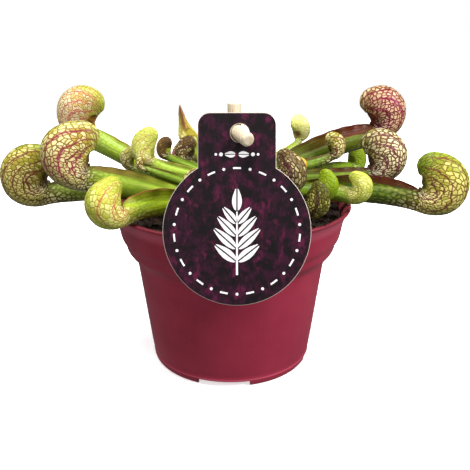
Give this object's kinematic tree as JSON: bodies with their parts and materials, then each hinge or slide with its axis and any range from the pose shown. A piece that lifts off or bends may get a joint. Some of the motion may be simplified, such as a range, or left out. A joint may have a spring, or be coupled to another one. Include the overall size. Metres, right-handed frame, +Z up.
{
  "type": "potted pitcher plant",
  "caption": "Rosette of hooded pitcher leaves growing flat over the lip of a round, tapered nursery pot of dark soil, with a hanging disc-shaped plant tag on a wooden stick.",
  "frame": {"origin": "on the surface the pot stands on, at the pot's axis", "axes": "+Z up along the pot's axis, +X to the right as seen from the tag's side, -Y towards the side where the tag hangs"},
  "size_m": [0.1738, 0.1046, 0.1018],
  "materials": {
    "pot": "satin crimson polypropylene",
    "soil": "damp dark peat",
    "rhizome": "rough, brown",
    "leaf_red": "waxy, cream windows between dark red veins",
    "leaf_purple": "waxy, purple-red with pale windows",
    "leaf_lime": "waxy, yellow-green with fine red veins",
    "leaf_green": "waxy, fresh green",
    "leaf_straw": "waxy, pale yellow",
    "printed_card": "satin print, near-black plum",
    "peeled_wood": "bare, pale"
  },
  "bodies": {
    "root": {"pot": "pot", "soil": "soil", "crown": "rhizome", "pitcher_right_low": "leaf_red", "pitcher_right_middle": "leaf_red", "pitcher_right_top": "leaf_purple", "pitcher_right_inner": "leaf_red", "pitcher_right_lime": "leaf_lime", "pitcher_right_green": "leaf_green", "pitcher_right_tip": "leaf_straw", "pitcher_front_right": "leaf_red", "pitcher_front_tag": "leaf_red", "pitcher_front_a": "leaf_green", "pitcher_front_b": "leaf_lime", "pitcher_front_left": "leaf_red", "pitcher_left_front": "leaf_lime", "pitcher_left_middle": "leaf_red", "pitcher_left_tip": "leaf_lime", "pitcher_left_low": "leaf_red", "pitcher_left_thumb": "leaf_lime", "pitcher_left_small": "leaf_lime", "pitcher_left_top": "leaf_lime", "pitcher_back_cap": "leaf_red", "pitcher_back_veined": "leaf_red", "pitcher_back_tall": "leaf_straw", "pitcher_back_hook": "leaf_straw", "pitcher_back_point": "leaf_green", "pitcher_back_a": "leaf_lime", "pitcher_back_b": "leaf_red", "pitcher_back_c": "leaf_lime", "pitcher_back_d": "leaf_red", "pitcher_back_e": "leaf_purple", "pitcher_back_f": "leaf_red", "pitcher_back_g": "leaf_green", "tag": "printed_card", "wooden_stick": "peeled_wood"}
  },
  "joints": []
}
